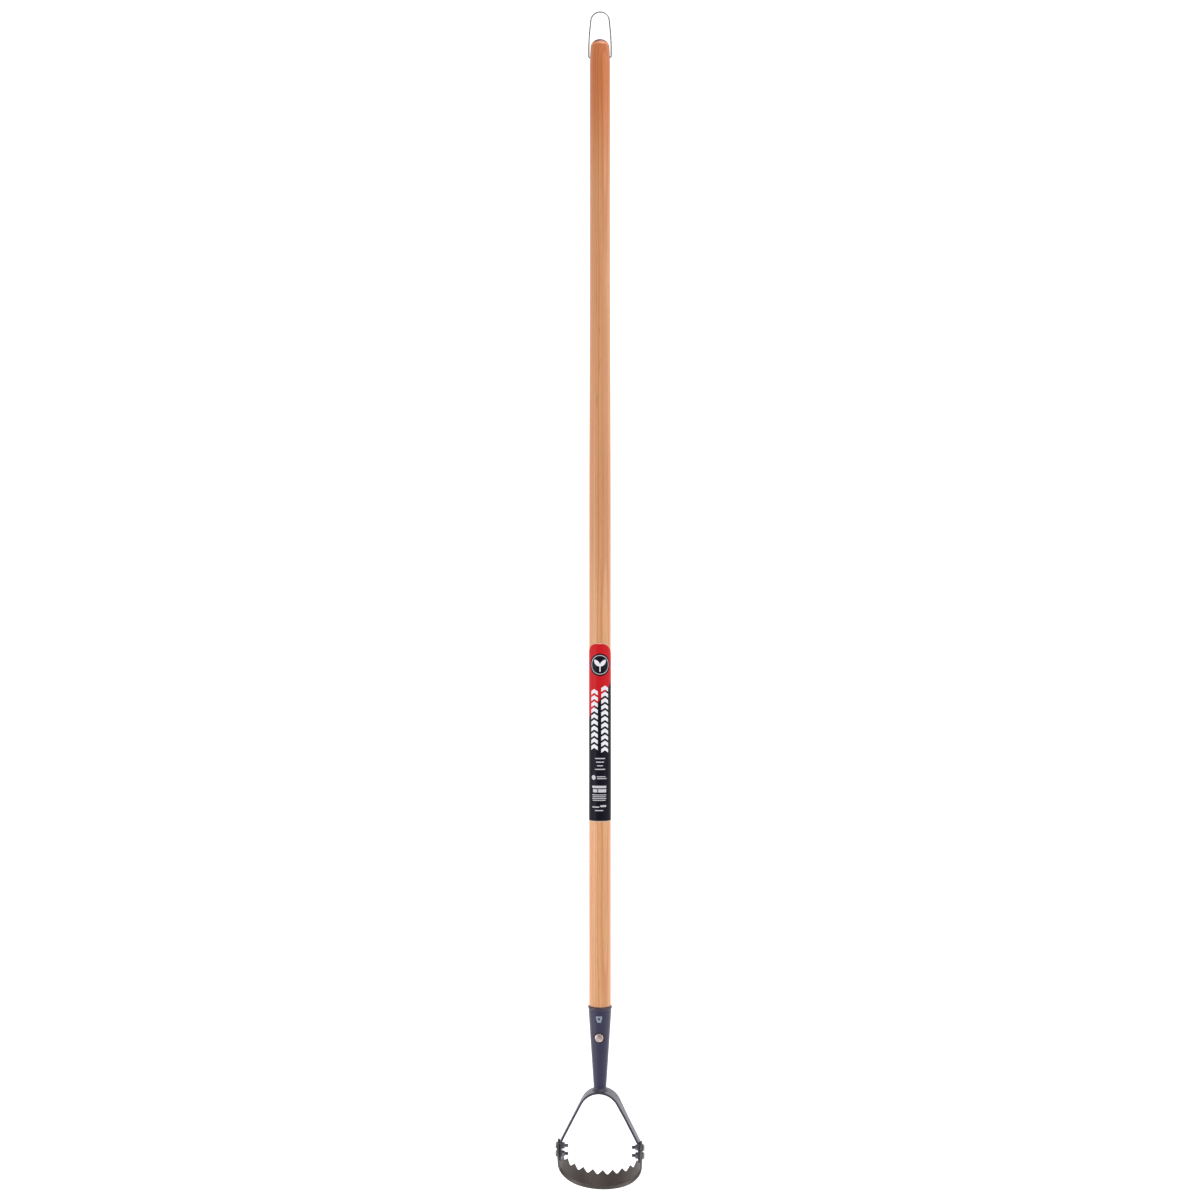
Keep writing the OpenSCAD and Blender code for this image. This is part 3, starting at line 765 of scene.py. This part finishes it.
def build_hanger(material):
    """One wire, bent round its crown, stepped out beside the handle, and turned into its holes."""
    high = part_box("hanger")[1]
    crown_z = high.z - WIRE_R - HANGER_R
    foot_x = high.x - WIRE_R - JOINT_SWELL
    knee = Vector((KNEE_X, high.z - KNEE_DROP))
    reach = (knee - Vector((0, crown_z))).length
    start = atan2(knee.y - crown_z, knee.x) + acos(HANGER_R / reach)

    def on_crown(a):
        return Vector((HANGER_R * cos(a), crown_z + HANGER_R * sin(a)))

    corners = [
        (Vector((WIRE_END_X, HANGER_PIVOT.z)), 0),
        (Vector((foot_x, HANGER_PIVOT.z)), HOLE_BEND),
        (Vector((foot_x, high.z - FOOT_DROP)), LEG_BEND),
        (knee, LEG_BEND),
        (on_crown(start), 0),
    ]
    side = [corners[0][0]]
    for (p, _), (q, cut), (r, _) in zip(corners, corners[1:], corners[2:]):
        side += corner(p, q, r, cut, 10)
    angles = [start + (pi - 2 * start) * i / 48 for i in range(49)]
    path = side + [on_crown(a) for a in angles] + [Vector((-p.x, p.y)) for p in reversed(side)]
    bm = bmesh.new()
    rows = []
    for i, p in enumerate(path):
        run = (path[min(i + 1, len(path) - 1)] - path[max(i - 1, 0)]).normalized()
        across = Vector((-run.y, 0, run.x))
        rows.append([
            Vector((p.x, 0, p.y)) + (across * cos(a) + Vector((0, 1, 0)) * sin(a)) * WIRE_R
            for a in (2 * pi * k / 20 for k in range(20))
        ])
    rows = [[Vector((path[0].x, 0, path[0].y))]] + rows + [[Vector((path[-1].x, 0, path[-1].y))]]
    grid(bm, rows)
    return new_object("hanger_wire", mesh_from("hanger_wire", bm, 50), HANGER, "wire", material, "hanger")


# Label --------

LABEL_WRAP = radians(198)
LABEL_TOP_R, LABEL_LOW_R = 27 * MM, 6 * MM
FILM_T = 0.28 * MM


def build_label(material):
    """The film, with round corners cut in the flat and then rolled round the pole."""
    low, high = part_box("label")
    outer_r = high.x
    length = high.z - low.z
    half = LABEL_WRAP / 2 * outer_r

    def half_width(drop):
        """Half of the film's width at a distance below its top edge, less in its round corners."""
        corner_r, depth = (LABEL_TOP_R, drop) if drop < length / 2 else (LABEL_LOW_R, length - drop)
        return half - corner_r + sqrt(corner_r ** 2 - max(0.0, corner_r - depth) ** 2)

    straight = length - LABEL_TOP_R - LABEL_LOW_R
    drops = [LABEL_TOP_R * (1 - cos(a)) for a in quarter_turn(24)]
    drops += [LABEL_TOP_R + straight * i / 40 for i in range(1, 41)]
    drops += [length - LABEL_LOW_R + LABEL_LOW_R * sin(a) for a in quarter_turn(12)[1:]]
    columns = 72
    bm = bmesh.new()
    flat = bm.loops.layers.uv.new("flat")
    rim = bm.loops.layers.uv.new("rim")
    sheets = []
    for r in (outer_r, outer_r - FILM_T):
        rows = []
        for drop in drops:
            width = half_width(drop)
            row = []
            for i in range(columns + 1):
                s = width * (2 * i / columns - 1)
                a = s / outer_r
                vert = bm.verts.new((r * sin(a), -r * cos(a), high.z - drop))
                row.append((vert, s, drop, min(width - abs(s), drop, length - drop)))
            rows.append(row)
        sheets.append(rows)

    def face(corners):
        made = bm.faces.new([c[0] for c in corners])
        for loop, (_, s, drop, margin) in zip(made.loops, corners):
            loop[flat].uv = (s, -drop)
            loop[rim].uv = (margin, 0)

    for rows in sheets:
        for a, b in zip(rows, rows[1:]):
            for i in range(columns):
                face([a[i], a[i + 1], b[i + 1], b[i]])
    out, back = sheets
    last = len(drops) - 1
    border = [(r, 0) for r in range(last + 1)] + [(last, c) for c in range(1, columns + 1)]
    border += [(r, columns) for r in range(last - 1, -1, -1)] + [(0, c) for c in range(columns - 1, 0, -1)]
    for (r, c), (r2, c2) in zip(border, border[1:] + border[:1]):
        face([out[r][c], out[r2][c2], back[r2][c2], back[r][c]])
    return new_object("label_wrap", mesh_from("label_wrap", bm, 40), ROOT, "label_film", material, "label")


# Socket, rivet and weld --------

def on_yoke(x):
    """The height of the yoke's crown, on its outside, at a distance x from the middle."""
    return YOKE_TOP - CROWN_OUTER_R + sqrt(CROWN_OUTER_R ** 2 - x ** 2)


CONE_TOP_R, CONE_LOW_R, SOCKET_WALL = 16.8 * MM, 8.8 * MM, 1.7 * MM
BEAD_R = 2.6 * MM
# How far the foot reaches below the yoke's top, before it is coped to the crown
FOOT_REACH = 1.5 * MM
MOUTH_R, MOUTH_DROP = 15.8 * MM, 4 * MM


def build_socket(material):
    """The tapered socket: a rolled lip, a thin wall, and a foot coped to the yoke's crown."""
    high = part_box("socket")[1]
    lip_z, foot_z = high.z - BEAD_R, YOKE_TOP - FOOT_REACH
    bead_x = high.x - BEAD_R

    def cone(z):
        return CONE_LOW_R + (CONE_TOP_R - CONE_LOW_R) * (z - foot_z) / (lip_z - foot_z)

    lip = []
    for degrees in range(104, -42, -8):
        a = radians(degrees)
        lip.append((bead_x + BEAD_R * cos(a), lip_z + BEAD_R * sin(a)))
    levels = [lip_z - (lip_z - foot_z) * (0.025 + 0.975 * i / 40) for i in range(41)]
    outside = [(cone(z), z) for z in levels]
    levels = (foot_z, (foot_z + lip_z) / 2, lip_z - MOUTH_DROP)
    inside = [(cone(z) - SOCKET_WALL, z) for z in levels] + [(MOUTH_R, lip_z + BEAD_R / 2)]
    bm = bmesh.new()
    rows = turned(lip + outside + inside, 96)
    for row in rows:
        for point in row:
            point.z = max(point.z, on_yoke(point.x))
    grid(bm, rows, close_rows=True)
    mesh = mesh_from("socket_tube", bm, 40)
    return new_object("socket_tube", mesh, ROOT, "painted_steel", material, "socket")


# The rivet's head: its height, the dome's share of it, the foot of its edge, and the shank's radius
HEAD_H, HEAD_DOME_H, HEAD_EDGE_H, SHANK_R = 2.6 * MM, 1.6 * MM, 1.95 * MM, 3 * MM


def build_rivet(material):
    """A shank across the socket, with a low domed head at each end."""
    low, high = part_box("socket_rivet")
    centre = (low.z + high.z) / 2
    head_r, reach = high.x, high.y
    seat = reach - HEAD_H
    profile = [(0, reach)]
    for a in quarter_turn(14)[1:]:
        profile.append((head_r * sin(a), reach - HEAD_DOME_H * (1 - cos(a)) ** 0.9))
    profile += [(head_r * 0.985, reach - HEAD_EDGE_H), (head_r * 0.96, seat), (0, seat)]
    bm = bmesh.new()
    for side in (-1, 1):
        grid(bm, [[along_y(side, centre) @ p for p in row] for row in turned(profile, 48)])
    shank = [(0, -seat), (SHANK_R, -seat), (SHANK_R, seat), (0, seat)]
    grid(bm, [[along_y(1, centre) @ p for p in row] for row in turned(shank, 32)])
    mesh = mesh_from("rivet_heads", bm)
    return new_object("rivet_heads", mesh, ROOT, "rivet_steel", material, "socket_rivet")


# Radii of the weld on the socket and inside it, its height, and how far its toe is drawn in
WELD_STEM_R, WELD_INNER_R, WELD_H, TOE_IN = 8.85 * MM, 8 * MM, 4.6 * MM, 0.6 * MM
RIPPLES = 30


def build_weld(material):
    """A run of weld round the socket's foot, with the ripples that a welder leaves."""
    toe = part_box("weld_bead")[1].x - TOE_IN
    steps, rings = 240, 12
    rows = []
    for j in range(rings + 1):
        t = j / rings
        out, up = 1 - cos(pi / 2 * t), (1 - sin(pi / 2 * t)) ** 1.1
        row = []
        for i in range(steps):
            a = 2 * pi * i / steps
            wave = abs(sin(a * RIPPLES / 2 + 2.2 * t)) ** 0.7 - 0.5
            drift = 0.4 * sin(3 * a + 0.7) + 0.3 * sin(7 * a)
            bulge = sin(pi * t) * (0.55 * MM + 0.32 * MM * wave) * 0.7
            reach = WELD_STEM_R + (toe + 0.35 * MM * drift - WELD_STEM_R) * out
            rise = (WELD_H + 0.5 * MM * drift) * up + bulge - 0.1 * MM
            z = on_yoke(reach * cos(a)) + rise
            row.append(Vector(((reach + bulge) * cos(a), (reach + bulge) * sin(a), z)))
        rows.append(row)
    inner = []
    for i in range(steps):
        a = 2 * pi * i / steps
        x, y = WELD_INNER_R * cos(a), WELD_INNER_R * sin(a)
        inner.append(Vector((x, y, on_yoke(x) - 0.4 * MM)))
    bm = bmesh.new()
    grid(bm, rows + [inner], close_rows=True)
    mesh = mesh_from("weld_run", bm, 60)
    return new_object("weld_run", mesh, ROOT, "painted_steel", material, "weld_bead")


# Yoke and blade --------

# Heights below the crown where the strip starts to narrow and is slimmest, and that half width
FLARE_DROP, WAIST_DROP, HALF_WAIST = 7.5 * MM, 43.5 * MM, 11 * MM
YOKE_HOLE_R = 2.6 * MM
YOKE_EDGE = 0.45 * MM


def yoke_runs():
    """The yoke's mid-line from the crown outwards, ending with the straight ends."""
    low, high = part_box("yoke")
    end_x = high.x - YOKE_T / 2
    slope = pi / 2 - CROWN_HALF
    leg_top = YOKE_R * sin(CROWN_HALF)
    leg_low = end_x - YOKE_BEND_R + YOKE_BEND_R * cos(slope)
    leg = (leg_low - leg_top) / sin(slope)
    crown_z = high.z - YOKE_T / 2
    leg_z = crown_z - YOKE_R + YOKE_R * cos(CROWN_HALF)
    bend_z = leg_z - leg * cos(slope) - YOKE_BEND_R * sin(slope)
    return crown_z, bend_z, [
        (YOKE_R * CROWN_HALF, YOKE_R),
        (leg, None),
        (YOKE_BEND_R * slope, YOKE_BEND_R),
        (bend_z - low.z, None),
    ]


def build_yoke(material):
    """The yoke's flat pattern with its holes, bent round the crown and down to the straight ends."""
    crown_z, bend_z, runs = yoke_runs()
    ends_at = sum(length for length, _ in runs)
    bend_at = ends_at - runs[-1][0]
    pivot_s = bend_at + bend_z - PIVOT.z
    stop_s = bend_at + bend_z - middle("stop_bolt_right").z
    end_r = ends_at - pivot_s
    half_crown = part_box("yoke")[1].y
    bend = Bend(crown_z, -1, runs)

    def half_width(s):
        """As wide as the crown at the top, slim by the legs' middle, then straight to the ends."""
        z = bend.at(s)[0].z
        top, waist = crown_z - FLARE_DROP, crown_z - WAIST_DROP
        if z > waist:
            return half_crown + (HALF_WAIST - half_crown) * smooth((top - z) / (top - waist))
        return HALF_WAIST + (end_r - HALF_WAIST) * (waist - z) / (waist - PIVOT.z)

    flank = [(pivot_s * i / 60, half_width(pivot_s * i / 60)) for i in range(60)]
    right = flank + circle_points((pivot_s, 0), end_r, 90, -90, 24) + [(s, -w) for s, w in reversed(flank)]
    left = [(-s, -w) for s, w in flank[1:]] + circle_points((-pivot_s, 0), end_r, 270, 90, 24)
    left += [(-s, w) for s, w in reversed(flank[1:])]
    places = (-pivot_s, -stop_s, pivot_s, stop_s)
    holes = [circle_points((s, 0), YOKE_HOLE_R, steps=32) for s in places]
    bm = plate([right + left, *holes], YOKE_T, YOKE_EDGE)
    slice_across(bm, bend_places(runs, 1.6 * MM))
    bend.apply(bm)
    mesh = mesh_from("yoke_strip", bm, 40)
    return new_object("yoke_strip", mesh, ROOT, "painted_steel", material, "yoke")


# The blade's strip: thickness, radii of its bow and corners, and the bow's depth below the pivots
BLADE_T, BLADE_EDGE = 2.5 * MM, 0.3 * MM
BOW_R, CORNER_R = 80 * MM, 50 * MM
BLADE_DROP = 60.2 * MM
BLADE_TILT = radians(31)
# Across the strip: the plain edge, the roots of the teeth, and the teeth's height, tips and roots
PLAIN_EDGE, ROOT_LINE, TOOTH = -12.5 * MM, 13 * MM, 7.8 * MM
HALF_TIP, HALF_ROOT, ROUNDING = 0.25 * MM, 1 * MM, 0.5 * MM
TAB_LOW, TAB_HIGH, TAB_TOP, TAB_R = -10.5 * MM, 13.5 * MM, 20 * MM, 7 * MM
PITCH, SIDE_TEETH = 15.1 * MM, 5
# The ground edge: its width, its thickness at the edge, and how gently it fades at both ends
GROUND, LAND, GROUND_FADE = 4 * MM, 0.5 * MM, 12 * MM
PIVOT_HOLE_R, SLOT_R = 3.56 * MM, 3.7 * MM
SLOT_FROM, SLOT_TO = 0.6, 31.4


def build_blade(material):
    """The blade's flat pattern with its teeth, holes and slots, ground and then bent to shape."""
    outer_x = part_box("blade")[1].x
    bow = asin((outer_x - CORNER_R) / (BOW_R - CORNER_R))
    corner_z = BOW_R - BLADE_DROP - (BOW_R - CORNER_R) * cos(bow)
    runs = [(BOW_R * bow, BOW_R), (CORNER_R * (pi / 2 - bow), CORNER_R), (TAB_TOP - corner_z, None)]
    tab_at = runs[0][0] + runs[1][0]
    pivot_s = tab_at - corner_z
    top_s = pivot_s + TAB_TOP
    last_root = (SIDE_TEETH + 0.5) * PITCH

    def teeth():
        """Rounded roots and slightly blunt tips, from one end of the toothed edge to the other."""
        out = []
        for i in range(-SIDE_TEETH, SIDE_TEETH + 1):
            s = i * PITCH
            foot, tip = PITCH / 2 - HALF_ROOT, ROOT_LINE + TOOTH
            out += [(s - foot, ROOT_LINE), (s - HALF_TIP, tip), (s + HALF_TIP, tip), (s + foot, ROOT_LINE)]
        return out

    right = [(last_root, ROOT_LINE), (tab_at, TAB_HIGH)]
    right += circle_points((top_s - TAB_R, TAB_HIGH - TAB_R), TAB_R, 90, 0, 10)
    right += circle_points((top_s - TAB_R, TAB_LOW + TAB_R), TAB_R, 0, -90, 10)
    right += [(tab_at, TAB_LOW), (last_root, PLAIN_EDGE)]
    left = [(-s, w) for s, w in reversed(right)]
    outline = rounded([*teeth(), *right, *left, teeth()[0]], ROUNDING, 3)[-2::-1]
    rise = middle("stop_bolt_right").z - PIVOT.z
    hub = (pivot_s, 0)
    slot_a, slot_b = (circle_points(hub, rise, a, a, 1)[0] for a in (SLOT_FROM, SLOT_TO))
    slot = circle_points(hub, rise + SLOT_R, SLOT_FROM, SLOT_TO, 16)
    slot += circle_points(slot_b, SLOT_R, SLOT_TO, SLOT_TO + 180, 16)[1:-1]
    slot += circle_points(hub, rise - SLOT_R, SLOT_TO, SLOT_FROM, 16)
    slot += circle_points(slot_a, SLOT_R, SLOT_FROM + 180, SLOT_FROM + 360, 16)[1:-1]
    slots = [[(side * s, w) for s, w in slot] for side in (1, -1)]
    holes = [circle_points((side * pivot_s, 0), PIVOT_HOLE_R, steps=40) for side in (-1, 1)]
    bm = plate([outline, *holes, *slots], BLADE_T, BLADE_EDGE)
    uv = bm.loops.layers.uv.new("flat")
    slice_across(bm, bend_places(runs, 2.4 * MM))
    slice_across(bm, [PLAIN_EDGE + GROUND], (0, 1, 0))
    for vert in bm.verts:
        grind = (PLAIN_EDGE + GROUND - vert.co.y) / GROUND
        inside = vert.co.z / BLADE_T + 0.5
        fade = smooth((last_root - abs(vert.co.x)) / GROUND_FADE)
        if grind > 0:
            vert.co.z -= inside * (BLADE_T - LAND) * min(1.0, grind) * fade
        vert.co.z += BLADE_T / 2
    for face in bm.faces:
        for loop in face.loops:
            loop[uv].uv = loop.vert.co.xy
    Bend(-BLADE_DROP, 1, runs).apply(bm)
    bm.transform(Matrix.Translation(PIVOT) @ Matrix.Rotation(BLADE_TILT, 4, "X"))
    mesh = mesh_from("blade_strip", bm, 35)
    return new_object("blade_strip", mesh, BLADE, "blade_steel", material, "blade")


# Fasteners --------

THREAD_PITCH = 0.8 * MM
THREAD_DEPTH = 0.45 * MM


def threaded(r, h, a):
    """Cuts a helical V thread into a cylinder's side."""
    turn = (h / THREAD_PITCH - a / (2 * pi)) % 1.0
    return r - THREAD_DEPTH * abs(2 * turn - 1)


def reach_of(node):
    """How far a CAD node is from the middle plane: (its near end, its far end)."""
    low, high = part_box(node)
    return sorted((abs(low.x), abs(high.x)))


BOLT_R, LEAD_IN = 2.5 * MM, 0.72
# The cross recess: its length, width and depth, how far its arms are turned, and its taper
RECESS, RECESS_TURN, RECESS_TAPER = (4.6 * MM, 1.0 * MM, 2.6 * MM), 0.4, 0.55


def build_bolt(which, side_name, material):
    """A pan-head bolt with a cut thread up to its nut's face and a cross recess in its head."""
    node = f"{which}_bolt_{side_name}"
    low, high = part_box(node)
    side = -1 if side_name == "left" else 1
    near, far = reach_of(node)
    head_r, height = (high.z - low.z) / 2, (low.z + high.z) / 2
    seat = reach_of(f"{which}_washer_{side_name}")[1]
    nut_face = reach_of(f"{which}_nut_{side_name}")[1]
    bm = bmesh.new()
    count = ceil((nut_face - near) / (0.1 * MM))
    rows = [[Vector((0, 0, near))]]
    for i in range(count + 1):
        h = near + (nut_face - near) * i / count
        lead = min(1.0, LEAD_IN + (1 - LEAD_IN) * i / 6)
        rows += turned([(BOLT_R * lead, h)], 32, threaded if i > 1 else None)
    head = rounded([
        (BOLT_R, nut_face + 0.05 * MM),
        (BOLT_R, seat),
        (head_r, seat),
        (head_r, seat + 1.0 * MM),
        (head_r * 0.93, seat + 1.9 * MM),
        (head_r * 0.7, far),
        (0, far),
    ], 0.35 * MM, 3)
    rows += turned([p for p in head if p[0] > 1e-6], 32) + [[Vector((0, 0, far))]]
    grid(bm, rows)
    mesh = mesh_from("bolt", bm, 32)
    piece = new_object(f"{node}_made", mesh, ROOT, "zinc_hardware", material, node)
    cutters = []
    for quarter in (0, 1):
        box = bmesh.new()
        bmesh.ops.create_cube(box, size=1)
        box.transform(Matrix.Diagonal((*RECESS, 1)))
        for vert in box.verts:
            if vert.co.z < 0:
                vert.co.x *= RECESS_TAPER
        turn = Matrix.Rotation(quarter * pi / 2 + RECESS_TURN, 4, "Z")
        box.transform(Matrix.Translation((0, 0, far)) @ turn)
        cutters.append(mesh_from("recess", box))
    cut_away(piece, cutters)
    piece.data.transform(along_x(side, height))
    return piece


WASHER_HOLE_R, BUSH_HOLE_R, RING_EDGE = 2.62 * MM, 2.53 * MM, 0.15 * MM


def build_ring(node, inner_r, material):
    """A washer or bush as a ring with rounded edges, where its CAD node is."""
    low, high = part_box(node)
    side = 1 if high.x > 0 else -1
    x0, x1 = reach_of(node)
    outer_r, height = (high.z - low.z) / 2, (low.z + high.z) / 2
    half_way = (x0 + x1) / 2
    corners = [(inner_r, half_way), (inner_r, x0), (outer_r, x0)]
    corners += [(outer_r, x1), (inner_r, x1), (inner_r, half_way + 1e-6)]
    profile = rounded(corners, RING_EDGE, 3)
    mesh = turned_mesh(node, profile[:-1], 48, along_x(side, height), ring=True)
    return new_object(f"{node}_made", mesh, ROOT, "zinc_hardware", material, node)


# The nut: half its width over the flats, radii of its bore and of the bore's mouth
HALF_FLATS, BORE_R, BORE_MOUTH_R, BORE_MOUTH = 4 * MM, 2.45 * MM, 2.85 * MM, 0.35 * MM
# How far each pair of nuts happens to be turned
NUT_TURN = {"pivot": 0.35, "stop": 0.95}


def build_nut(node, turn, material):
    """A hex nut, turned down at both faces so that its corners are chamfered."""
    low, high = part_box(node)
    side = 1 if high.x > 0 else -1
    x0, x1 = reach_of(node)
    height = (low.z + high.z) / 2

    def hexed(r, h, a):
        if r < 3 * MM:
            return r
        across = HALF_FLATS / cos((a + pi / 6) % (pi / 3) - pi / 6)
        margin = min(h - x0, x1 - h)
        return min(across - 0.05 * MM, r * 0.955 + margin * 1.9)

    steps = [0, 0.12, 0.25, 0.4, 0.6, 0.85]
    heights = [x0 + s * MM for s in steps] + [x1 - s * MM for s in reversed(steps)]
    profile = [(BORE_R, x0 + BORE_MOUTH), (BORE_MOUTH_R, x0)] + [(HALF_FLATS, h) for h in heights]
    profile += [(BORE_MOUTH_R, x1), (BORE_R, x1 - BORE_MOUTH)]
    place = along_x(side, height) @ Matrix.Rotation(turn, 4, "Z")
    mesh = turned_mesh(node, profile, 96, place, radius=hexed, ring=True, angle=28)
    return new_object(f"{node}_made", mesh, ROOT, "zinc_hardware", material, node)


# The whole hoe --------

def build():
    wood = ash_wood()
    paint = painted_steel("navy_enamel", srgb(30, 28, 60), srgb(40, 37, 70), socket_marks)
    strip_paint = painted_steel("strip_enamel", srgb(40, 38, 54), srgb(54, 52, 66))
    steel = blade_steel()
    zinc = bare_metal("zinc_plate", srgb(150, 150, 154), srgb(92, 92, 96), 0.42)
    wire = bare_metal("drawn_wire", srgb(142, 142, 146), srgb(92, 92, 94), 0.34)
    rivet = bare_metal("rivet_metal", srgb(214, 196, 194), srgb(168, 148, 144), 0.38)

    build_handle(wood)
    build_hanger(wire)
    build_label(label_film())
    build_rivet(rivet)
    build_weld(strip_paint)
    build_yoke(strip_paint)
    build_blade(steel)
    build_socket(paint)
    for which in ("pivot", "stop"):
        for side in ("left", "right"):
            build_bolt(which, side, zinc)
            build_ring(f"{which}_washer_{side}", WASHER_HOLE_R, zinc)
            build_ring(f"{which}_bush_{side}", BUSH_HOLE_R, zinc)
            build_nut(f"{which}_nut_{side}", NUT_TURN[which], zinc)


studio()
build()
